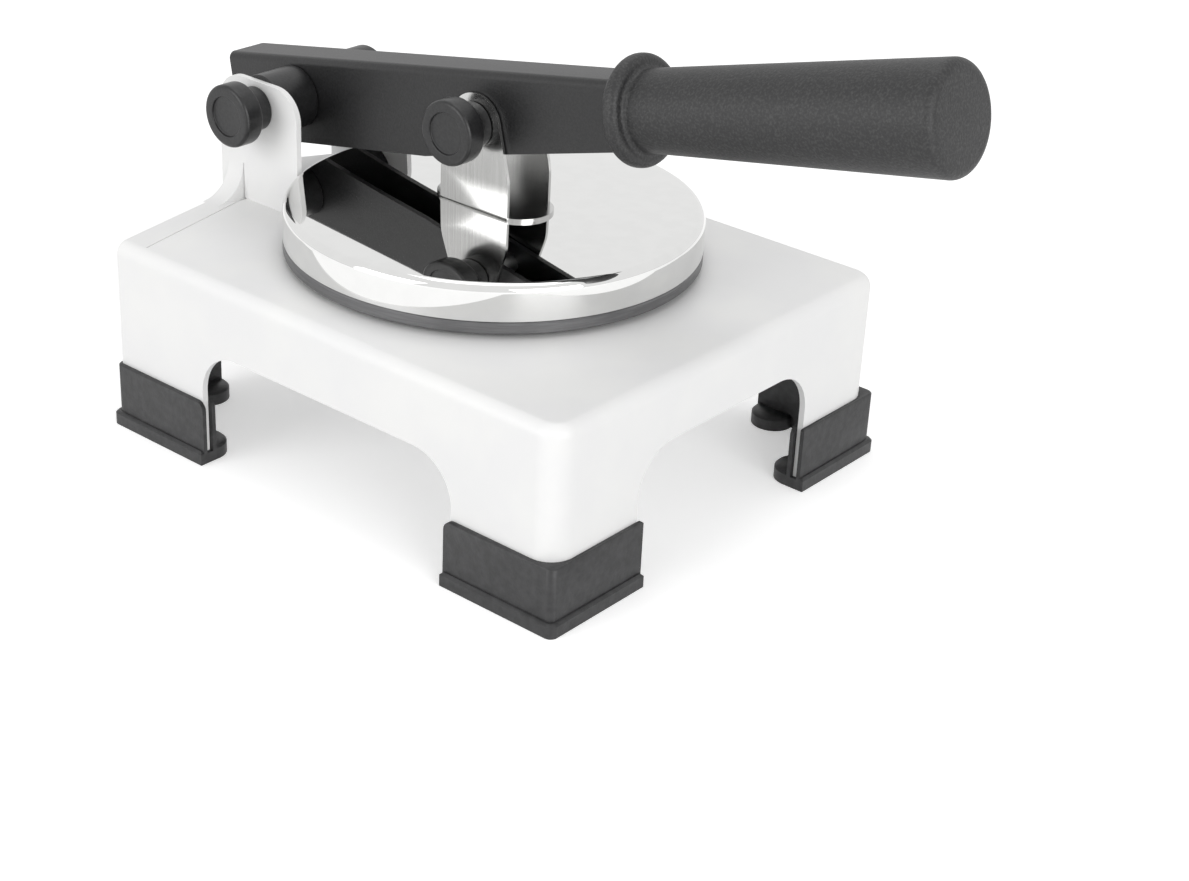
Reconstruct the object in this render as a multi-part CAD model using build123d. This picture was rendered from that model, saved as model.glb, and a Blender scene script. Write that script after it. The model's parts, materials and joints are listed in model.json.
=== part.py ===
from build123d import *
import math
import os

# A table burger press: a folded sheet base on four moulded feet, a lever hinged between
# two upright ears at the rear, and a round steel press plate hung from the lever.
# Working frame: X runs from the rear edge of the base to the grip, Y runs across,
# Z is up from the table. All pieces move together to the final origin at the end.

# Base
base_length = 180.0
base_width = 153.5
base_middle_y = -2.25
base_height = 62.0
sheet = 2.0
fold_radius = 4.0
front_corner_radius = 8.0
side_leg_width = 38.0
end_leg_width = 36.0
side_arch_height = 39.0
end_arch_height = 42.0
arch_radius = 15.0
seam_gap = 0.3

# Rear deck and pivot ears
seam_x_at_side = 9.5
seam_x_at_ear = -1.0
deck_waist_x = -8.0
deck_waist_y = 30.0
deck_tail_x = -18.0
deck_tail_y = 10.0
deck_bend_radius = 14.0
deck_lip_height = 9.0
ear_rear_x = -11.5
ear_front_x = 24.0
ear_span = 51.0
ear_height = 41.0
far_ear_height = 38.5
ear_corner_radius = 10.0
ear_root_radius = 12.0

# Feet
foot_height = 21.0
foot_floor = 3.5
foot_wall = 1.4
foot_lip = 1.3
foot_lip_height = 4.5
foot_lobe_radius = 7.0
foot_lobe_depth = 4.5
foot_edge_chamfer = 0.8
foot_end_radius = 3.0
foot_corner_radius = 2.5
foot_slot_gap = 0.15

# Plates
plate_x = 85.0
plate_diameter = 130.0
lower_plate_thickness = 3.6
lower_plate_seat = 1.6
lower_plate_seat_inset = 4.0
lower_plate_edge = 0.4
stud_count = 3
stud_radius = 2.0
stud_circle_radius = 38.0
stud_length = 9.0
nut_across_flats = 7.0
nut_thickness = 3.2
closing_gap = 0.2
pan_height = 11.4
pan_wall = 1.2
pan_edge_radius = 2.6

# Lever
lever_angle = 10.6
lever_width = 17.0
lever_wall = 2.0
lever_edge_radius = 2.4
lever_tail = 30.5
lever_tail_radius = 10.0
lever_above_pivot = 12.6
lever_below_pivot = 15.4
lever_taper_start = 55.0
lever_end_depth = 20.5
lever_reach = 134.0
lever_end_spare = 2.0
lever_nose_radius = 2.5

# Pivots
pivot_x = 6.25
pivot_above_deck = 32.5
press_pivot_above_deck = 44.0
bolt_radius = 3.0
running_gap = 0.05
side_gap = 0.2
sleeve_wall = 1.8
spacer_radius = 10.0
knob_radius = 10.0
knob_depth = 7.0
knob_edge_radius = 1.2
knob_neck_radius = 7.0
knob_neck_length = 6.0
knob_rim = 3.6
knob_recess = 0.8
weld_nut_across_flats = 10.0
weld_nut_thickness = 5.0
bolt_tip = 3.0

# Press bracket
bracket_sheet = 1.0
bracket_side_gap = 0.4
bracket_fold_radius = 0.9
bracket_foot_length = 41.0
bracket_ear_width = 27.5
bracket_shoulder_height = 12.0
bracket_top_radius = 9.5

# Grip
collar_radius = 16.3
collar_thickness = 5.5
collar_edge_radius = 2.4
grip_length = 103.0
grip_small_radius = 12.0
grip_large_radius = 15.8
grip_end_radius = 3.0
rod_radius = 6.0
rod_in_grip = 82.0
rod_in_lever = 34.0
rod_gap = 0.05
saddle_length = 26.0

# Places that follow from the sizes above
half_width = base_width / 2
near_fold_y = base_middle_y - half_width + fold_radius
far_fold_y = base_middle_y + half_width - fold_radius
deck_top = base_height
panel_underside = base_height - sheet
ear_outer_y = ear_span / 2
ear_inner_y = ear_outer_y - sheet
pivot_z = deck_top + pivot_above_deck
press_pivot_z = deck_top + press_pivot_above_deck
plate_radius = plate_diameter / 2
seat_top = deck_top + lower_plate_seat
lower_plate_top = seat_top + lower_plate_thickness
pan_bottom = lower_plate_top + closing_gap
pan_top = pan_bottom + pan_height
bracket_inner_y = lever_width / 2 + bracket_side_gap
bracket_outer_y = bracket_inner_y + bracket_sheet
lever_slope = math.tan(math.radians(lever_angle))
lever_frame = Plane(origin=(pivot_x, 0, pivot_z), x_dir=(1, 0, lever_slope), z_dir=(0, -1, 0))
lever_end_low = lever_above_pivot - lever_end_depth


def on_lever(along, above):
    """A point of the side view, measured along and square to the lever from its pivot."""
    return lever_frame.from_local_coords((along, above, 0))


def slab(outline, low, high):
    """A plan outline raised from one height to another."""
    return extrude(Plane.XY.offset(low) * outline, high - low)


def side_plate(outline, y_low, y_high):
    """A side-view outline (x, z) given thickness across Y."""
    return extrude(Plane.XZ.offset(-y_low) * outline, y_low - y_high)


def cross_bar(radius, x, z, y_low, y_high):
    """A round bar that lies along Y."""
    return side_plate(Pos(x, z) * Circle(radius), y_low, y_high)


def arch(width, height):
    """The opening under a skirt: open at the table, round at its two upper corners."""
    opening = Pos(0, height / 2) * Rectangle(width, height)
    return fillet(opening.vertices().group_by(Axis.Y)[-1], arch_radius)


def end_arch(x):
    """The arch of the front or rear wall, cut through it at a given X."""
    opening = arch(base_width - 2 * end_leg_width, end_arch_height)
    return Pos(x, 0, 0) * extrude(Plane.YZ * opening, 2 * sheet, both=True)


def base_block(inset, height):
    """The base as a solid block, drawn in by an inset on its sides, front and top."""
    length = base_length - inset
    block = Pos(length / 2, 0, height / 2) * Box(length, base_width - 2 * inset, height)
    front_corners = block.edges().filter_by(Axis.Z).group_by(Axis.X)[-1]
    block = fillet(front_corners, front_corner_radius - inset)
    top = block.faces().sort_by(Axis.Z)[-1]
    rims = top.edges().filter_by(lambda edge: edge.center().X > sheet)
    return fillet(rims, fold_radius - inset)


def seam_outline():
    """Plan outline of the rear deck's place in the top panel, with the seam's gap round it."""
    front = seam_x_at_side + seam_gap
    middle = seam_x_at_ear + seam_gap
    return make_face(Polyline(
        (-sheet, near_fold_y), (front, near_fold_y), (middle, -ear_outer_y),
        (middle, ear_outer_y), (front, far_fold_y), (-sheet, far_fold_y), close=True))


def stud_places():
    """The places on a circle where the lower plate is held from below."""
    for turn in range(stud_count):
        angle = math.radians(360 / stud_count * turn)
        yield plate_x + stud_circle_radius * math.cos(angle), stud_circle_radius * math.sin(angle)


def base_shell():
    """Top panel with its near, far and front skirts, folded from one sheet."""
    shell = base_block(0, base_height) - base_block(sheet, panel_underside)
    shell -= slab(Rectangle(3 * base_length, 2 * base_width), 0, foot_floor)
    side_opening = arch(base_length - 2 * side_leg_width, side_arch_height)
    shell -= Pos(base_length / 2, 0, 0) * side_plate(side_opening, -base_width, base_width)
    shell -= end_arch(base_length)
    shell = Pos(0, base_middle_y, 0) * shell
    shell -= slab(seam_outline(), panel_underside - sheet, base_height + sheet)
    for x, y in stud_places():
        shell -= Pos(x, y, base_height) * Cylinder(stud_radius + running_gap, 3 * sheet)
    return shell


def rear_skirt():
    """Straight rear wall under the deck, with the same arch as the front."""
    height = panel_underside - foot_floor
    outline = Pos(0, foot_floor + height / 2) * Rectangle(base_width - 2 * sheet, height)
    outline = fillet(outline.vertices().group_by(Axis.Y)[-1], fold_radius)
    return Pos(0, base_middle_y, 0) * (extrude(Plane.YZ * outline, sheet) - end_arch(0))


def deck_outline(inset):
    """Plan outline of the rear deck: a tail behind the ears that narrows from the base's corners."""
    tail_x = deck_tail_x + inset
    waist_x = deck_waist_x + inset
    tail_y = deck_tail_y - inset
    face = make_face(Polyline(
        (0, far_fold_y), (waist_x, deck_waist_y), (tail_x, tail_y),
        (tail_x, -tail_y), (waist_x, -deck_waist_y), (0, near_fold_y),
        (seam_x_at_side, near_fold_y), (seam_x_at_ear, -ear_outer_y),
        (seam_x_at_ear, ear_outer_y), (seam_x_at_side, far_fold_y), close=True))
    bends = face.vertices().filter_by(lambda v: v.X < (waist_x + seam_x_at_ear) / 2)
    return fillet(bends, deck_bend_radius - inset)


def deck_lip():
    """The deck's tail edge, turned down behind the rear wall."""
    low = panel_underside - deck_lip_height
    ring = slab(deck_outline(0), low, panel_underside) - slab(deck_outline(sheet), low, panel_underside)
    behind = slab(Rectangle(-2 * deck_tail_x, 2 * deck_waist_y), low, panel_underside)
    in_front = slab(Pos(-deck_tail_x, 0) * Rectangle(-2 * deck_tail_x, base_width), low, panel_underside)
    return (ring & behind) - in_front


def ear(side):
    """One upright ear. Its front root stands on the panel behind a thin slit."""
    width = ear_front_x - ear_rear_x
    height = far_ear_height if side > 0 else ear_height
    outline = Pos((ear_rear_x + ear_front_x) / 2, deck_top + height / 2) * Rectangle(width, height)
    outline = fillet(outline.vertices().group_by(Axis.Y)[-1], ear_corner_radius)
    outline -= Pos(pivot_x, pivot_z) * Circle(bolt_radius + running_gap)
    slit_place = Pos(seam_x_at_ear, deck_top + ear_root_radius / 2)
    outline -= slit_place * Rectangle(seam_gap, ear_root_radius)
    whole = side_plate(outline, ear_inner_y, ear_outer_y) + ear_root()
    return whole if side > 0 else mirror(whole, Plane.XZ)


def ear_root():
    """The rear root of the far ear, which sweeps out into the deck in a hollow curve."""
    reach = ear_root_radius
    corner = Pos(ear_outer_y + reach / 2, deck_top + reach / 2) * Rectangle(reach, reach)
    section = corner - Pos(ear_outer_y + reach, deck_top + reach) * Circle(reach)
    return Pos(deck_waist_x, 0, 0) * extrude(Plane.YZ * section, seam_x_at_ear - seam_gap / 2 - deck_waist_x)


def hinge_yoke():
    """Rear deck with its turned-down lip and the two ears that hold the lever's pivot."""
    return slab(deck_outline(0), panel_underside, deck_top) + deck_lip() + ear(1) + ear(-1)


def wall_outline(inset):
    """Plan outline of the base's outer walls: square rear corners, round front corners."""
    length = base_length - inset
    outline = Pos((inset + length) / 2, 0) * Rectangle(length - inset, base_width - 2 * inset)
    return fillet(outline.vertices().group_by(Axis.X)[-1], front_corner_radius - inset)


def foot_plan(corner_x, inward, out):
    """L-shaped plan of a far-side foot that stands out past both walls by a given amount."""
    reach_x = side_leg_width + foot_wall
    reach_y = end_leg_width + foot_wall
    depth = sheet + foot_slot_gap + foot_wall
    along = Pos(corner_x + inward * (reach_x - out) / 2, half_width - (depth - out) / 2)
    across = Pos(corner_x + inward * (depth - out) / 2, half_width - (reach_y - out) / 2)
    plan = along * Rectangle(reach_x + out, depth + out) + across * Rectangle(depth + out, reach_y + out)
    outer = plan.vertices().sort_by_distance((corner_x - inward * out, half_width + out, 0))[0]
    return fillet([outer], foot_corner_radius)


def foot_tread(corner_x, inward):
    """The foot's wider bottom: a lip outside the walls and a round lobe at each leg end."""
    lobe = Circle(foot_lobe_radius)
    lobe_x = corner_x + inward * (side_leg_width + foot_wall - foot_lobe_radius)
    lobe_y = half_width - end_leg_width - foot_wall + foot_lobe_radius
    plan = foot_plan(corner_x, inward, foot_wall + foot_slot_gap + foot_lip)
    plan += Pos(lobe_x, half_width - foot_lobe_depth) * lobe
    plan += Pos(corner_x + inward * foot_lobe_depth, lobe_y) * lobe
    tread = slab(plan, 0, foot_lip_height)
    return chamfer(tread.faces().sort_by(Axis.Z)[-1].edges(), foot_edge_chamfer)


def foot_end_rounding(corner_x, inward):
    """What is cut off the upper end of each of the foot's two arms, to round it."""
    radius = foot_end_radius
    corner = Pos(-radius / 2, -radius / 2) * Rectangle(radius, radius) - Pos(-radius, -radius) * Circle(radius)
    arm_x = side_leg_width + foot_wall
    arm_y = half_width - end_leg_width - foot_wall
    along = Pos(arm_x, foot_height) * corner
    end_x = side_plate(along, 0, base_width)
    end_x = end_x if inward > 0 else mirror(end_x, Plane.YZ)
    across = Pos(-arm_y, foot_height) * corner
    end_y = mirror(extrude(Plane.YZ * across, base_length, both=True), Plane.XZ)
    return Pos(corner_x, 0, 0) * end_x + end_y


def foot(front, side):
    """Moulded corner foot with a slot that takes both walls of the base."""
    corner_x = base_length if front else 0
    inward = -1 if front else 1
    body = slab(foot_plan(corner_x, inward, foot_wall + foot_slot_gap), 0, foot_height)
    body = chamfer(body.faces().sort_by(Axis.Z)[-1].edges(), foot_edge_chamfer / 2)
    body -= foot_end_rounding(corner_x, inward)
    slot_top = foot_height + foot_wall
    slot = slab(wall_outline(-foot_slot_gap), foot_floor, slot_top)
    slot -= slab(wall_outline(sheet + foot_slot_gap), foot_floor, slot_top)
    whole = (body + foot_tread(corner_x, inward)) - slot
    return Pos(0, base_middle_y, 0) * (whole if side > 0 else mirror(whole, Plane.XZ))


def lower_plate():
    """Flat round plate on the base that the meat is pressed on, on a slightly smaller seat."""
    seat = slab(Pos(plate_x, 0) * Circle(plate_radius - lower_plate_seat_inset), deck_top, seat_top)
    disc = slab(Pos(plate_x, 0) * Circle(plate_radius), seat_top, lower_plate_top)
    plate = chamfer(disc.edges().filter_by(GeomType.CIRCLE), lower_plate_edge) + seat
    for x, y in stud_places():
        plate += slab(Pos(x, y) * Circle(stud_radius), deck_top - stud_length, deck_top)
    return plate


def lower_plate_nuts():
    """Three nuts under the top panel that hold the lower plate's studs."""
    nut = hex_ring(nut_across_flats, stud_radius + running_gap)
    top = panel_underside - running_gap
    return Compound(children=[slab(Pos(x, y) * nut, top - nut_thickness, top) for x, y in stud_places()])


def press_pan():
    """Shallow steel cup, open downwards, that shapes and presses the meat."""
    outer = slab(Pos(plate_x, 0) * Circle(plate_radius), pan_bottom, pan_top)
    outer = fillet(outer.edges().sort_by(Axis.Z)[-1], pan_edge_radius)
    inner = slab(Pos(plate_x, 0) * Circle(plate_radius - pan_wall), seat_top, pan_top - pan_wall)
    inner = fillet(inner.edges().sort_by(Axis.Z)[-1], pan_edge_radius - pan_wall)
    return outer - inner


def bracket_ear_outline():
    """Side view of a bracket ear: upright shoulders that run in to a round top."""
    shoulder_z = pan_top + bracket_shoulder_height
    half = bracket_ear_width / 2
    drop = shoulder_z - press_pivot_z
    distance = math.hypot(half, drop)
    turn = math.atan2(drop, half) + math.acos(bracket_top_radius / distance)
    touch_x = bracket_top_radius * math.cos(turn)
    touch_z = press_pivot_z + bracket_top_radius * math.sin(turn)
    sides = Polyline(
        (-touch_x, touch_z), (-half, shoulder_z), (-half, pan_top),
        (half, pan_top), (half, shoulder_z), (touch_x, touch_z))
    crown = ThreePointArc(
        (touch_x, touch_z), (0, press_pivot_z + bracket_top_radius), (-touch_x, touch_z))
    face = make_face(sides + crown)
    shoulders = face.vertices().filter_by(lambda v: abs(v.Y - shoulder_z) < running_gap)
    return fillet(shoulders, 2 * bracket_top_radius)


def bracket_foot_outline():
    """Plan of the bracket's foot: straight under the ears, a round tongue at each end."""
    half = bracket_ear_width / 2
    tip = bracket_foot_length / 2
    side = bracket_outer_y
    front = ThreePointArc((half, -side), (tip, 0), (half, side))
    rear = ThreePointArc((-half, side), (-tip, 0), (-half, -side))
    return make_face(front + Line((half, side), (-half, side)) + rear + Line((-half, -side), (half, -side)))


def press_bracket():
    """Bent steel yoke welded on the pan: a foot with round ends and an ear each side of the lever."""
    outline = Pos(plate_x, 0) * bracket_ear_outline()
    outline -= Pos(plate_x, press_pivot_z) * Circle(bolt_radius + running_gap)
    near = side_plate(outline, -bracket_outer_y, -bracket_inner_y)
    fold = near.edges().filter_by(Axis.X).sort_by_distance((plate_x, -bracket_outer_y, pan_top))[0]
    near = fillet(fold, bracket_fold_radius)
    plan = bracket_foot_outline() - Rectangle(bracket_ear_width, 2 * bracket_outer_y)
    plan += Rectangle(bracket_ear_width, 2 * bracket_inner_y)
    foot_sheet = slab(Pos(plate_x, 0) * plan, pan_top, pan_top + bracket_sheet)
    return foot_sheet + near + mirror(near, Plane.XZ)


def lever_side():
    """Side view of the lever in its own frame, with its tail's lower corner rounded."""
    end = lever_reach + lever_end_spare
    outline = make_face(Polyline(
        (-lever_tail, lever_above_pivot), (end, lever_above_pivot), (end, lever_end_low),
        (lever_reach, lever_end_low), (lever_taper_start, -lever_below_pivot),
        (-lever_tail, -lever_below_pivot), close=True))
    tail = outline.vertices().sort_by_distance((-lever_tail, -lever_below_pivot, 0))[0]
    return fillet([tail], lever_tail_radius)


def hollow_side():
    """Side view of the channel's hollow: everything below the web, out past both ends."""
    top = lever_above_pivot - lever_wall
    depth = 2 * (lever_above_pivot + lever_below_pivot)
    length = 2 * (lever_reach + lever_tail)
    return Pos(0, top - depth / 2) * Rectangle(length, depth)


def lever_channel():
    """Channel-section lever, open underneath, deeper at the pivot than at the grip."""
    block = extrude(lever_frame * lever_side(), lever_width / 2, both=True)
    middle = on_lever(lever_reach / 2, lever_above_pivot)
    for side in (-1, 1):
        long_edge = block.edges().sort_by_distance(middle + Vector(0, side * lever_width / 2, 0))[0]
        block = fillet(long_edge, lever_edge_radius)
    block -= extrude(lever_frame * hollow_side(), lever_width / 2 - lever_wall, both=True)
    beyond = 2 * collar_radius
    block -= on_grip_axis(Pos(beyond / 2, beyond / 2) * Rectangle(beyond, beyond))
    for x, z in ((pivot_x, pivot_z), (plate_x, press_pivot_z)):
        block -= cross_bar(bolt_radius + running_gap + sleeve_wall, x, z, -lever_width, lever_width)
    return block


def sleeve(x, z):
    """Steel sleeve across the lever that a bolt turns in."""
    half = lever_width / 2
    bore = cross_bar(bolt_radius + running_gap, x, z, -half, half)
    return cross_bar(bolt_radius + running_gap + sleeve_wall, x, z, -half, half) - bore


def pivot_spacer(side):
    """Round black spacer that fills the room between an ear and the lever."""
    ring = cross_bar(spacer_radius, pivot_x, pivot_z, lever_width / 2 + side_gap, ear_inner_y)
    ring -= cross_bar(bolt_radius + running_gap, pivot_x, pivot_z, 0, ear_inner_y)
    return ring if side > 0 else mirror(ring, Plane.XZ)


def knob(x, z, seat_y):
    """Round moulded knob with a neck and a sunk face. Its neck ends just off its seat."""
    neck_y = -(seat_y + side_gap)
    head_y = neck_y - knob_neck_length
    face_y = head_y - knob_depth
    body = cross_bar(knob_radius, x, z, face_y, head_y)
    body = fillet(body.edges().filter_by(GeomType.CIRCLE), knob_edge_radius)
    body += cross_bar(knob_neck_radius, x, z, head_y, neck_y)
    body -= cross_bar(knob_radius - knob_rim, x, z, face_y, face_y + knob_recess)
    return body - cross_bar(bolt_radius + running_gap, x, z, head_y - knob_depth / 2, neck_y)


def knob_bolt(x, z, seat_y):
    """Bolt fixed in a knob, through to the nut on the far side."""
    start_y = -(seat_y + side_gap + knob_neck_length + knob_depth / 2)
    bar = cross_bar(bolt_radius, x, z, start_y, seat_y + weld_nut_thickness + bolt_tip)
    return chamfer(bar.edges().sort_by(Axis.Y)[-1], bolt_radius / 4)


def hex_ring(across_flats, hole_radius):
    """Outline of a six-sided nut with its hole."""
    return RegularPolygon(across_flats / 2, 6, major_radius=False) - Circle(hole_radius)


def weld_nut(x, z, seat_y):
    """Nut welded to the far face, where a bolt's thread ends."""
    outline = Pos(x, z) * hex_ring(weld_nut_across_flats, bolt_radius + running_gap)
    return side_plate(outline, seat_y, seat_y + weld_nut_thickness)


def grip_frame():
    """The grip's axis halves the lever's taper and leaves it in the middle of its end."""
    rise = lever_end_low + lever_below_pivot
    half_taper = math.atan2(rise, lever_reach - lever_taper_start) / 2
    middle = lever_above_pivot - lever_end_depth / 2
    start = on_lever(lever_reach, middle)
    ahead = on_lever(lever_reach + math.cos(half_taper), middle + math.sin(half_taper))
    return Plane(origin=start, x_dir=ahead - start, z_dir=(0, -1, 0))


def on_grip_axis(outline):
    """Turns a profile (along, radius) round the grip's axis."""
    return Location(grip_frame()) * revolve(Plane.XY * outline, Axis.X)


def grip():
    """Tapered moulded grip with a round collar against the lever."""
    end = collar_thickness + grip_length
    profile = make_face(Polyline(
        (0, 0), (0, collar_radius), (collar_thickness, collar_radius),
        (collar_thickness, grip_small_radius), (end, grip_large_radius), (end, 0), close=True))
    collar_points = profile.vertices().filter_by(lambda v: abs(v.Y - collar_radius) < running_gap)
    profile = fillet(collar_points, collar_edge_radius)
    end_point = profile.vertices().sort_by_distance((end, grip_large_radius, 0))[0]
    profile = fillet([end_point], grip_end_radius)
    bore = Pos(rod_in_grip / 2, (rod_radius + rod_gap) / 2) * Rectangle(rod_in_grip, rod_radius + rod_gap)
    return on_grip_axis(profile - bore)


def grip_rod():
    """Steel rod that carries the grip, clamped inside the lever's end."""
    middle = (rod_in_grip - rod_in_lever) / 2
    return on_grip_axis(Pos(middle, rod_radius / 2) * Rectangle(rod_in_grip + rod_in_lever, rod_radius))


def rod_saddle():
    """Block welded inside the channel that holds the rod."""
    top = lever_above_pivot - lever_wall
    place = Pos(lever_reach - lever_nose_radius - saddle_length / 2, (top + lever_end_low) / 2)
    outline = place * Rectangle(saddle_length, top - lever_end_low)
    block = extrude(lever_frame * outline, lever_width / 2 - lever_wall, both=True)
    return block - on_grip_axis(Pos(0, rod_radius / 2) * Rectangle(4 * rod_in_lever, rod_radius))


def base_pieces():
    """The base with its rear deck, lower plate, spacers and feet."""
    made = {
        "base_shell": base_shell(),
        "rear_skirt": rear_skirt(),
        "hinge_yoke": hinge_yoke(),
        "lower_plate": lower_plate(),
        "lower_plate_nuts": lower_plate_nuts(),
        "pivot_spacer_near": pivot_spacer(-1),
        "pivot_spacer_far": pivot_spacer(1),
        "pivot_weld_nut": weld_nut(pivot_x, pivot_z, ear_outer_y),
    }
    for front in (True, False):
        for side in (-1, 1):
            end = "front" if front else "rear"
            flank = "far" if side > 0 else "near"
            made[f"foot_{end}_{flank}"] = foot(front, side)
    return made


def lever_pieces():
    """The lever with its sleeves and grip."""
    return {
        "lever_channel": lever_channel(),
        "pivot_sleeve": sleeve(pivot_x, pivot_z),
        "press_sleeve": sleeve(plate_x, press_pivot_z),
        "rod_saddle": rod_saddle(),
        "grip_rod": grip_rod(),
        "grip": grip(),
    }


def press_pieces():
    """The press plate with its bracket."""
    return {
        "press_pan": press_pan(),
        "press_bracket": press_bracket(),
        "press_weld_nut": weld_nut(plate_x, press_pivot_z, bracket_outer_y),
    }


def screw_pieces():
    """The two knobs with their bolts."""
    return {
        "pivot_knob": knob(pivot_x, pivot_z, ear_outer_y),
        "pivot_bolt": knob_bolt(pivot_x, pivot_z, ear_outer_y),
        "press_knob": knob(plate_x, press_pivot_z, bracket_outer_y),
        "press_bolt": knob_bolt(plate_x, press_pivot_z, bracket_outer_y),
    }


def origin_shift(made):
    """How far the working frame moves along X and Y, so that the origin is the middle of the plan."""
    boxes = [piece.bounding_box() for piece in made.values()]
    shift_x = -(min(box.min.X for box in boxes) + max(box.max.X for box in boxes)) / 2
    shift_y = -(min(box.min.Y for box in boxes) + max(box.max.Y for box in boxes)) / 2
    return shift_x, shift_y


def main():
    os.makedirs("parts", exist_ok=True)
    made = {**base_pieces(), **lever_pieces(), **press_pieces(), **screw_pieces()}
    shift_x, shift_y = origin_shift(made)
    print("origin shift along X and Y:", round(shift_x, 4), round(shift_y, 4))
    for name, piece in made.items():
        export_step(Pos(shift_x, shift_y, 0) * piece, f"parts/{name}.step")


if __name__ == "__main__":
    main()
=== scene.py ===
import json
import math

import bmesh
import bpy
import numpy as np
from mathutils import Matrix, Vector


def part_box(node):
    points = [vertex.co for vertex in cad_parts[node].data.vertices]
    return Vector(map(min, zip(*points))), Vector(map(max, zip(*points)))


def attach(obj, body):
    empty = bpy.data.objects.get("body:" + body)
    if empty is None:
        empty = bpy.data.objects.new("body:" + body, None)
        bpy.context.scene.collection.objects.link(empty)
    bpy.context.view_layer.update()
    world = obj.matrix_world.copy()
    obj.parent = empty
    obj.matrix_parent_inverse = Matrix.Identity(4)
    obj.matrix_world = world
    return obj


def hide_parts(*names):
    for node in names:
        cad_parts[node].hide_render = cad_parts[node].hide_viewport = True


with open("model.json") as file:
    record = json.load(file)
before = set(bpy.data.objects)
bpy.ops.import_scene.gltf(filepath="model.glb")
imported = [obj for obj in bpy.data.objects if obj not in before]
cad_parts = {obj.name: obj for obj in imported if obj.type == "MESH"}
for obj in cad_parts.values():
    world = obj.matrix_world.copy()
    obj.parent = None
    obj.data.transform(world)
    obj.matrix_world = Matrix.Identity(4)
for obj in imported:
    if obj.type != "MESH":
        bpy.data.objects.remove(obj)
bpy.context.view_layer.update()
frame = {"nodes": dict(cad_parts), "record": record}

MM = 0.001
BODY_OF = {
    node: body
    for body, nodes in frame["record"]["behaviour"]["bodies"].items()
    for node in nodes
}

# Image frame and the camera that was fitted to it
IMAGE_WIDTH = 1189
FOCAL_PIXELS = 2210.1
SENSOR = 36.0
CAMERA_PLACE = Vector((398.3, -473.25, 329.0)) * MM
CAMERA_AZIMUTH = math.radians(38.58)
CAMERA_ELEVATION = math.radians(27.53)
CAMERA_ROLL = math.radians(3.04)

# Studio places in metres, and strengths where 1 is white
PRESS_MIDDLE = (0, 0, 0.05)
FLOOR_REACH = 4.0
FLOOR_GLOW = 0.36
FILL_STRENGTH = 0.54

# How finely curves are made, and the angles that tell flat, smooth and sharp edges apart
FOLD_SMOOTHING = math.radians(32)
BEVEL_ABOVE = math.radians(50)
FLAT_WITHIN = math.radians(0.5)
ROUND_STEPS = 8
KNOB_STEPS = 144
GRIP_STEPS = 192
PAN_STEPS = 256

# Finish sizes, in millimetres
JOIN_WITHIN = 0.002
SHEET_EDGE = 0.3
LEVER_EDGE = 0.4
FOOT_EDGE = 0.4
SPACER_EDGE = 0.3
HARDWARE_EDGE = 0.15
PAN_WALL = 1.2
PAN_EDGE_RADIUS = 2.6
PAN_LIP_RADIUS = 0.3
KNOB_NECK_RADIUS = 7.0
KNOB_NECK_LENGTH = 6.0
KNOB_EDGE_RADIUS = 1.2
KNOB_SEAT_RADIUS = 0.4
KNOB_ROOT_RADIUS = 0.5
KNOB_RECESS_EDGE = 0.35
KNOB_RECESS_RADIUS = 6.4
KNOB_RECESS_DEPTH = 0.8
COLLAR_RADIUS = 16.3
COLLAR_THICKNESS = 5.5
COLLAR_EDGE_RADIUS = 2.4
GRIP_SMALL_RADIUS = 12.0
GRIP_LARGE_RADIUS = 15.8
GRIP_END_RADIUS = 3.0
GRIP_COVE_RADIUS = 1.5


def linear(hex_colour):
    """Turns an sRGB hex colour into linear RGBA."""
    values = []
    for start in (1, 3, 5):
        value = int(hex_colour[start:start + 2], 16) / 255
        values.append(value / 12.92 if value <= 0.04045 else ((value + 0.055) / 1.055) ** 2.4)
    return (*values, 1.0)


def add(tree, kind, inputs=None, **settings):
    """Adds one node, with its settings, and with values or links for its inputs."""
    made = tree.nodes.new(kind)
    for key, value in settings.items():
        setattr(made, key, value)
    for key, value in (inputs or {}).items():
        if isinstance(value, bpy.types.NodeSocket):
            tree.links.new(value, made.inputs[key])
        else:
            made.inputs[key].default_value = value
    return made


def new_material(name, metallic, roughness):
    """An empty principled material with its constant values set on the shader's own sockets."""
    made = bpy.data.materials.new(name)
    made.use_nodes = True
    shader = made.node_tree.nodes["Principled BSDF"]
    shader.inputs["Metallic"].default_value = metallic
    shader.inputs["Roughness"].default_value = roughness
    return made, made.node_tree, shader


def per_mm(size):
    """A noise scale, in object metres, for features of a size in millimetres."""
    return 1 / (size * MM)


def mottle(tree, coordinates, size, low, high, low_at=0.4, high_at=0.6):
    """A colour that drifts between two hex colours in patches of a size."""
    noise = add(tree, "ShaderNodeTexNoise", {"Vector": coordinates, "Scale": per_mm(size), "Detail": 4.0})
    ramp = add(tree, "ShaderNodeValToRGB", {"Fac": noise.outputs["Fac"]})
    ramp.color_ramp.elements[0].position = low_at
    ramp.color_ramp.elements[1].position = high_at
    ramp.color_ramp.elements[0].color = linear(low)
    ramp.color_ramp.elements[1].color = linear(high)
    return ramp.outputs["Color"]


def grain(tree, coordinates, size, height, strength=1.0, under=None):
    """A bump normal from a fine random grain of a size and height in millimetres."""
    noise = add(tree, "ShaderNodeTexNoise", {"Vector": coordinates, "Scale": per_mm(size), "Detail": 3.0})
    inputs = {"Height": noise.outputs["Fac"], "Distance": height * MM, "Strength": strength}
    if under:
        inputs["Normal"] = under
    return add(tree, "ShaderNodeBump", inputs).outputs["Normal"]


def object_coordinates(tree):
    return add(tree, "ShaderNodeTexCoord").outputs["Object"]


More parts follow.
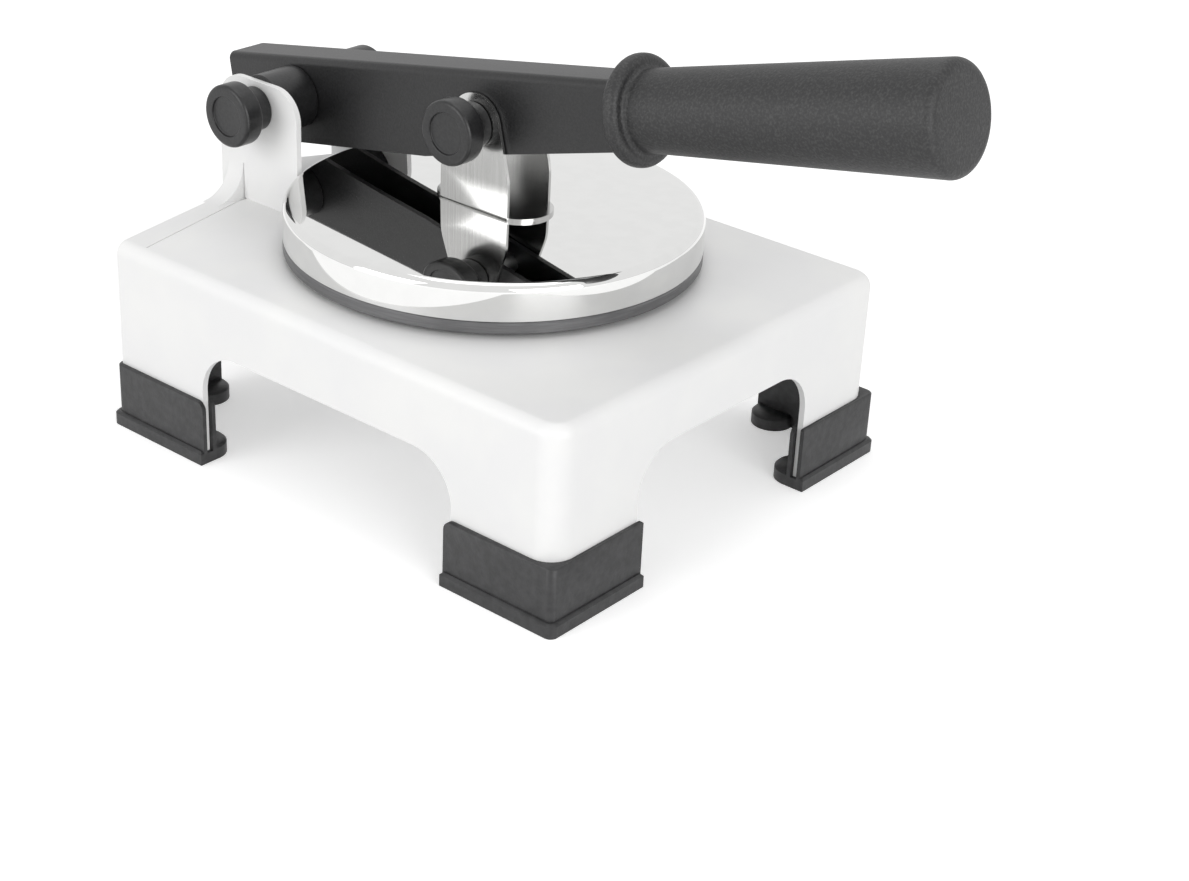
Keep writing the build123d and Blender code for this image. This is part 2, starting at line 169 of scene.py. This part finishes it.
def powder_coat_white():
    """Smooth white powder coat on sheet steel: a satin shine over a faint orange peel."""
    made, tree, shader = new_material("powder_coat_white", 0.0, 0.4)
    place = object_coordinates(tree)
    tree.links.new(mottle(tree, place, 30, "#eeeeee", "#f1f1f0"), shader.inputs["Base Color"])
    tree.links.new(grain(tree, place, 1.6, 0.02), shader.inputs["Normal"])
    return made


def powder_coat_black():
    """Fine-textured black powder coat on the lever: satin, with a grain that breaks the shine up."""
    made, tree, shader = new_material("powder_coat_black", 0.0, 0.42)
    place = object_coordinates(tree)
    tree.links.new(mottle(tree, place, 0.8, "#131314", "#1c1c1d"), shader.inputs["Base Color"])
    tree.links.new(grain(tree, place, 0.7, 0.06), shader.inputs["Normal"])
    return made


def moulded_grip_plastic():
    """Black moulded polypropylene with a spark-eroded grain: dull, with fine pale specks."""
    made, tree, shader = new_material("moulded_grip_plastic", 0.0, 0.5)
    place = object_coordinates(tree)
    tree.links.new(mottle(tree, place, 0.7, "#1f1f20", "#393939", 0.45, 0.7), shader.inputs["Base Color"])
    tree.links.new(grain(tree, place, 0.8, 0.12), shader.inputs["Normal"])
    return made


def moulded_foot_plastic():
    """Black moulded polyethylene feet: waxy, with scuffs and a light grain."""
    made, tree, shader = new_material("moulded_foot_plastic", 0.0, 0.46)
    place = object_coordinates(tree)
    tree.links.new(mottle(tree, place, 2.5, "#242425", "#343435", 0.35, 0.7), shader.inputs["Base Color"])
    fine = grain(tree, place, 0.8, 0.06)
    tree.links.new(grain(tree, place, 9, 0.15, under=fine), shader.inputs["Normal"])
    return made


def moulded_knob_plastic():
    """Black phenolic knobs: a smoother moulding with a soft sheen on its rims."""
    made, tree, shader = new_material("moulded_knob_plastic", 0.0, 0.36)
    place = object_coordinates(tree)
    tree.links.new(mottle(tree, place, 0.9, "#131314", "#1e1e1f"), shader.inputs["Base Color"])
    tree.links.new(grain(tree, place, 0.8, 0.04), shader.inputs["Normal"])
    return made


def polished_stainless():
    """Mirror-polished stainless steel: clear reflections with faint polishing haze and waviness."""
    made, tree, shader = new_material("polished_stainless", 1.0, 0.035)
    place = object_coordinates(tree)
    tree.links.new(mottle(tree, place, 6, "#dfdfde", "#e1e1e0"), shader.inputs["Base Color"])
    haze = add(tree, "ShaderNodeTexNoise", {"Vector": place, "Scale": per_mm(12), "Detail": 6.0})
    spread = add(tree, "ShaderNodeMapRange", {
        "Value": haze.outputs["Fac"],
        "From Min": 0.35, "From Max": 0.75, "To Min": 0.02, "To Max": 0.035})
    tree.links.new(spread.outputs["Result"], shader.inputs["Roughness"])
    tree.links.new(grain(tree, place, 25, 0.003), shader.inputs["Normal"])
    return made


def brushed_stainless():
    """Brushed stainless sheet: fine brush lines run up the bracket's ears and soften the shine."""
    made, tree, shader = new_material("brushed_stainless", 1.0, 0.2)
    place = object_coordinates(tree)
    stretched = add(tree, "ShaderNodeMapping", {"Vector": place, "Scale": (1.0, 1.0, 0.01)}).outputs["Vector"]
    tree.links.new(mottle(tree, stretched, 0.2, "#bebebd", "#c8c8c7"), shader.inputs["Base Color"])
    tree.links.new(grain(tree, stretched, 0.2, 0.002), shader.inputs["Normal"])
    return made


def turned_grey_steel():
    """Plain grey steel plate with a dull turned face and edge."""
    made, tree, shader = new_material("turned_grey_steel", 1.0, 0.42)
    place = object_coordinates(tree)
    mapping = add(tree, "ShaderNodeMapping", {"Vector": place, "Scale": (0.05, 0.05, 1.0)})
    flattened = mapping.outputs["Vector"]
    tree.links.new(mottle(tree, flattened, 0.5, "#6f6f70", "#787879"), shader.inputs["Base Color"])
    tree.links.new(grain(tree, flattened, 0.4, 0.003), shader.inputs["Normal"])
    return made


def zinc_plated_steel():
    """Bright zinc plate on bolts, nuts and sleeves: grey, with a soft cloudy sheen."""
    made, tree, shader = new_material("zinc_plated_steel", 1.0, 0.34)
    place = object_coordinates(tree)
    tree.links.new(mottle(tree, place, 2, "#a9abad", "#c3c4c4"), shader.inputs["Base Color"])
    tree.links.new(grain(tree, place, 0.6, 0.01), shader.inputs["Normal"])
    return made


def mesh_object(name, points, faces):
    """A mesh object at the origin from vertex places and faces, with its normals made to point out."""
    mesh = bpy.data.meshes.new(name)
    mesh.from_pydata(points.tolist(), [], faces)
    shape = bmesh.new()
    shape.from_mesh(mesh)
    bmesh.ops.recalc_face_normals(shape, faces=shape.faces)
    shape.to_mesh(mesh)
    shape.free()
    made = bpy.data.objects.new(name, mesh)
    bpy.context.scene.collection.objects.link(made)
    return made


def shade_smooth(piece, angle):
    """Smooth shading with the edges that turn more than an angle kept sharp."""
    mesh = piece.data
    mesh.polygons.foreach_set("use_smooth", np.ones(len(mesh.polygons), bool))
    mesh.set_sharp_from_angle(angle=angle)


def dress(piece, material, body, slot, *nodes):
    """Gives a finished piece its material and its body, and hides the CAD nodes it stands for; its slot is
    not used.
    """
    piece.data.materials.clear()
    piece.data.materials.append(material)
    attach(piece, body)
    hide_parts(*nodes)


def rounded_corner(before, corner, after, radius):
    """Points on the arc of a radius that touches both lines of a corner.

    The arc's centre lies on the corner's bisector, radius / sin(half angle) from the corner.
    """
    into = (before - corner) / np.linalg.norm(before - corner)
    away = (after - corner) / np.linalg.norm(after - corner)
    half = math.acos(np.clip(into @ away, -1, 1)) / 2
    bisector = (into + away) / np.linalg.norm(into + away)
    centre = corner + bisector * radius / math.sin(half)
    start = corner + into * radius / math.tan(half) - centre
    end = corner + away * radius / math.tan(half) - centre
    sweep = math.pi - 2 * half
    turns = np.linspace(0, 1, ROUND_STEPS + 1)[:, None]
    arc = (np.sin((1 - turns) * sweep) * start + np.sin(turns * sweep) * end) / math.sin(sweep)
    return centre + arc


def rounded_profile(corners):
    """A profile of (along, radius, rounding) corners in millimetres, as points in metres."""
    places = np.array([(along, radius) for along, radius, _ in corners], float)
    points = []
    for index, (_, _, rounding) in enumerate(corners):
        if rounding and 0 < index < len(corners) - 1:
            points.extend(rounded_corner(places[index - 1], places[index], places[index + 1], rounding))
        else:
            points.append(places[index])
    return np.array(points) * MM


def turned(name, start, direction, profile, steps):
    """A profile of (along, radius) points carried round an axis.

    Point (i, j) lies at start + along_i * axis + radius_i * (cos t_j * side + sin t_j * up).
    A profile starts and ends on the axis, where its ring closes to one pole.
    """
    axis = np.array(direction, float)
    axis /= np.linalg.norm(axis)
    helper = np.array((0.0, 0.0, 1.0)) if abs(axis[2]) < 0.9 else np.array((1.0, 0.0, 0.0))
    side = np.cross(axis, helper)
    side /= np.linalg.norm(side)
    up = np.cross(axis, side)
    turns = np.arange(steps) * 2 * math.pi / steps
    ring = np.cos(turns)[:, None] * side + np.sin(turns)[:, None] * up
    along, radius = profile[1:-1, 0], profile[1:-1, 1]
    rows = np.array(start) + along[:, None, None] * axis + radius[:, None, None] * ring
    poles = np.array(start) + profile[[0, -1], :1] * axis
    points = np.concatenate((rows.reshape(-1, 3), poles))
    count = len(along)
    here = np.arange(count * steps).reshape(count, steps)
    beside = np.roll(here, -1, axis=1)
    quads = np.stack((here[:-1], beside[:-1], beside[1:], here[1:]), -1).reshape(-1, 4).tolist()
    first = np.stack((beside[0], here[0], np.full(steps, count * steps)), -1).tolist()
    last = np.stack((here[-1], beside[-1], np.full(steps, count * steps + 1)), -1).tolist()
    piece = mesh_object(name, points, quads + first + last)
    shade_smooth(piece, FOLD_SMOOTHING)
    return piece


def middle_of(node):
    low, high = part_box(node)
    return (low + high) / 2


def finished_copy(node, material, slot, edge=0.0):
    """A copy of a CAD node with its triangles joined, its curves smooth and its edges eased."""
    mesh = frame["nodes"][node].data.copy()
    mesh.name = node + "_finish"
    shape = bmesh.new()
    shape.from_mesh(mesh)
    bmesh.ops.remove_doubles(shape, verts=shape.verts, dist=JOIN_WITHIN * MM)
    bmesh.ops.dissolve_limit(shape, angle_limit=FLAT_WITHIN, verts=shape.verts, edges=shape.edges)
    shape.to_mesh(mesh)
    shape.free()
    piece = bpy.data.objects.new(node + "_finish", mesh)
    bpy.context.scene.collection.objects.link(piece)
    shade_smooth(piece, FOLD_SMOOTHING)
    if edge:
        bevel = piece.modifiers.new("eased edges", "BEVEL")
        bevel.width = edge * MM
        bevel.segments = 2
        bevel.limit_method = "ANGLE"
        bevel.angle_limit = BEVEL_ABOVE
        bevel.use_clamp_overlap = True
        bevel.harden_normals = True
    dress(piece, material, BODY_OF[node], slot, node)
    return piece


def press_pan(material):
    """The polished cup: flat mirror top, rolled edge, upright wall and a hollow underside."""
    low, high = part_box("press_pan")
    centre = middle_of("press_pan")
    radius = (high.x - low.x) / 2 / MM
    height = (high.z - low.z) / MM
    inner = radius - PAN_WALL
    ceiling = height - PAN_WALL
    profile = rounded_profile((
        (height, 0, 0), (height, radius, PAN_EDGE_RADIUS), (0, radius, PAN_LIP_RADIUS),
        (0, inner, PAN_LIP_RADIUS),
        (ceiling, inner, PAN_EDGE_RADIUS - PAN_WALL), (ceiling, 0, 0)))
    piece = turned("press_pan_polished", (centre.x, centre.y, low.z), (0, 0, 1), profile, PAN_STEPS)
    dress(piece, material, "press_plate", "polished_steel", "press_pan")


def knob(name, node, body, material):
    """A turned knob: round neck, wide head with a rim, and a sunk face."""
    low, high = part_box(node)
    centre = middle_of(node)
    radius = (high.x - low.x) / 2 / MM
    length = (high.y - low.y) / MM
    sunk = length - KNOB_RECESS_DEPTH
    profile = rounded_profile((
        (0, 0, 0), (0, KNOB_NECK_RADIUS, KNOB_SEAT_RADIUS),
        (KNOB_NECK_LENGTH, KNOB_NECK_RADIUS, KNOB_ROOT_RADIUS),
        (KNOB_NECK_LENGTH, radius, KNOB_EDGE_RADIUS), (length, radius, KNOB_EDGE_RADIUS),
        (length, KNOB_RECESS_RADIUS, KNOB_RECESS_EDGE),
        (sunk, KNOB_RECESS_RADIUS, KNOB_RECESS_EDGE), (sunk, 0, 0)))
    piece = turned(name, (centre.x, high.y, centre.z), (0, -1, 0), profile, KNOB_STEPS)
    dress(piece, material, body, "knob_plastic", node)


def grip(material):
    """The turned grip: collar, hollow cove, and a body that widens to a rounded end.

    Its axis runs through the middles of the rod's two ends.
    """
    rod = np.array([vertex.co for vertex in frame["nodes"]["grip_rod"].data.vertices])
    middle_x = (rod[:, 0].min() + rod[:, 0].max()) / 2
    rear = rod[rod[:, 0] < middle_x].mean(0)
    front = rod[rod[:, 0] > middle_x].mean(0)
    axis = (front - rear) / np.linalg.norm(front - rear)
    along = (np.array([vertex.co for vertex in frame["nodes"]["grip"].data.vertices]) - rear) @ axis
    start = rear + axis * along.min()
    length = (along.max() - along.min()) / MM
    profile = rounded_profile((
        (0, 0, 0), (0, COLLAR_RADIUS, COLLAR_EDGE_RADIUS),
        (COLLAR_THICKNESS, COLLAR_RADIUS, COLLAR_EDGE_RADIUS),
        (COLLAR_THICKNESS, GRIP_SMALL_RADIUS, GRIP_COVE_RADIUS),
        (length, GRIP_LARGE_RADIUS, GRIP_END_RADIUS), (length, 0, 0)))
    piece = turned("grip_moulded", start, axis, profile, GRIP_STEPS)
    dress(piece, material, "lever", "grip_plastic", "grip")


def lay_floor():
    """A wide pale floor. The camera and reflections see it a little lighter than its own colour."""
    reach = FLOOR_REACH
    points = np.array([(-reach, -reach, 0), (reach, -reach, 0), (reach, reach, 0), (-reach, reach, 0)])
    floor = mesh_object("floor", points, [(0, 1, 2, 3)])
    made = bpy.data.materials.new("pale_floor")
    made.use_nodes = True
    tree = made.node_tree
    tree.nodes.clear()
    light = add(tree, "ShaderNodeLightPath")
    seen = add(tree, "ShaderNodeMath", {
        0: light.outputs["Is Camera Ray"], 1: light.outputs["Is Glossy Ray"]}, operation="MAXIMUM")
    plain = add(tree, "ShaderNodeBsdfDiffuse", {"Color": linear("#e6e6e6")})
    pale = add(tree, "ShaderNodeBsdfDiffuse", {"Color": linear("#ffffff")})
    glow = add(tree, "ShaderNodeEmission", {"Color": linear("#ffffff"), "Strength": FLOOR_GLOW})
    bright = add(tree, "ShaderNodeAddShader", {0: pale.outputs["BSDF"], 1: glow.outputs["Emission"]})
    mixed = add(tree, "ShaderNodeMixShader", {
        "Fac": seen.outputs[0], 1: plain.outputs["BSDF"], 2: bright.outputs["Shader"]})
    add(tree, "ShaderNodeOutputMaterial", {"Surface": mixed.outputs["Shader"]})
    floor.data.materials.append(made)


def light_world():
    """A white studio: cameras and shiny faces see plain white, and the fill light is softer."""
    world = bpy.data.worlds.new("studio")
    bpy.context.scene.world = world
    world.use_nodes = True
    tree = world.node_tree
    tree.nodes.clear()
    light = add(tree, "ShaderNodeLightPath")
    seen = add(tree, "ShaderNodeMath", {
        0: light.outputs["Is Camera Ray"], 1: light.outputs["Is Glossy Ray"]}, operation="MAXIMUM")
    strength = add(tree, "ShaderNodeMapRange", {
        "Value": seen.outputs[0], "To Min": FILL_STRENGTH, "To Max": 1.0})
    sky = add(tree, "ShaderNodeBackground", {
        "Color": linear("#ffffff"), "Strength": strength.outputs["Result"]})
    add(tree, "ShaderNodeOutputWorld", {"Surface": sky.outputs["Background"]})


def softbox(name, place, aim, size, level):
    """A square area light. Its level is the brightness it gives a white face at its aim."""
    lamp = bpy.data.lights.new(name, "AREA")
    lamp.shape = "SQUARE"
    lamp.size = size
    place = Vector(place)
    towards = Vector(aim) - place
    lamp.energy = level * math.pi ** 2 * towards.length_squared
    made = bpy.data.objects.new(name, lamp)
    made.matrix_world = Matrix.Translation(place) @ towards.to_track_quat("-Z", "Y").to_matrix().to_4x4()
    bpy.context.scene.collection.objects.link(made)


def place_camera():
    """The fitted camera: azimuth, elevation and roll give its right, up and back directions."""
    forward = Vector((
        -math.sin(CAMERA_AZIMUTH) * math.cos(CAMERA_ELEVATION),
        math.cos(CAMERA_AZIMUTH) * math.cos(CAMERA_ELEVATION),
        -math.sin(CAMERA_ELEVATION)))
    level_right = forward.cross(Vector((0, 0, 1))).normalized()
    level_down = forward.cross(level_right)
    right = math.cos(CAMERA_ROLL) * level_right - math.sin(CAMERA_ROLL) * level_down
    down = math.sin(CAMERA_ROLL) * level_right + math.cos(CAMERA_ROLL) * level_down
    turn = Matrix((right, -down, -forward)).transposed()
    camera = bpy.data.cameras.new("camera")
    camera.sensor_width = SENSOR
    camera.lens = SENSOR * FOCAL_PIXELS / IMAGE_WIDTH
    made = bpy.data.objects.new("camera", camera)
    made.matrix_world = Matrix.Translation(CAMERA_PLACE) @ turn.to_4x4()
    bpy.context.scene.collection.objects.link(made)
    bpy.context.scene.camera = made


white = powder_coat_white()
black = powder_coat_black()
grip_black = moulded_grip_plastic()
foot_black = moulded_foot_plastic()
knob_black = moulded_knob_plastic()
mirror = polished_stainless()
brushed = brushed_stainless()
plate_grey = turned_grey_steel()
zinc = zinc_plated_steel()

for name in ("base_shell", "rear_skirt", "hinge_yoke"):
    finished_copy(name, white, "base_paint", SHEET_EDGE)
finished_copy("lever_channel", black, "lever_paint", LEVER_EDGE)
for name in ("foot_front_near", "foot_front_far", "foot_rear_near", "foot_rear_far"):
    finished_copy(name, foot_black, "foot_plastic", FOOT_EDGE)
finished_copy("press_bracket", brushed, "brushed_steel", HARDWARE_EDGE)
finished_copy("lower_plate", plate_grey, "plate_steel")
for name in ("lower_plate_nuts", "pivot_weld_nut", "press_weld_nut", "pivot_sleeve", "press_sleeve",
             "rod_saddle", "grip_rod", "pivot_bolt", "press_bolt"):
    finished_copy(name, zinc, "plain_steel", HARDWARE_EDGE)
press_pan(mirror)
knob("pivot_knob_turned", "pivot_knob", "pivot_screw", knob_black)
knob("press_knob_turned", "press_knob", "press_screw", knob_black)
for name in ("pivot_spacer_near", "pivot_spacer_far"):
    finished_copy(name, knob_black, "knob_plastic", SPACER_EDGE)
grip(grip_black)

lay_floor()
light_world()
softbox("near_softbox", (-0.5, -1.7, 0.7), PRESS_MIDDLE, 1.2, 0.33)
softbox("front_softbox", (1.7, -0.6, 0.7), PRESS_MIDDLE, 1.2, 0.42)
softbox("top_softbox", (-0.2, 0.3, 1.6), PRESS_MIDDLE, 1.0, 0.15)
place_camera()
bpy.context.scene.view_settings.view_transform = "Standard"
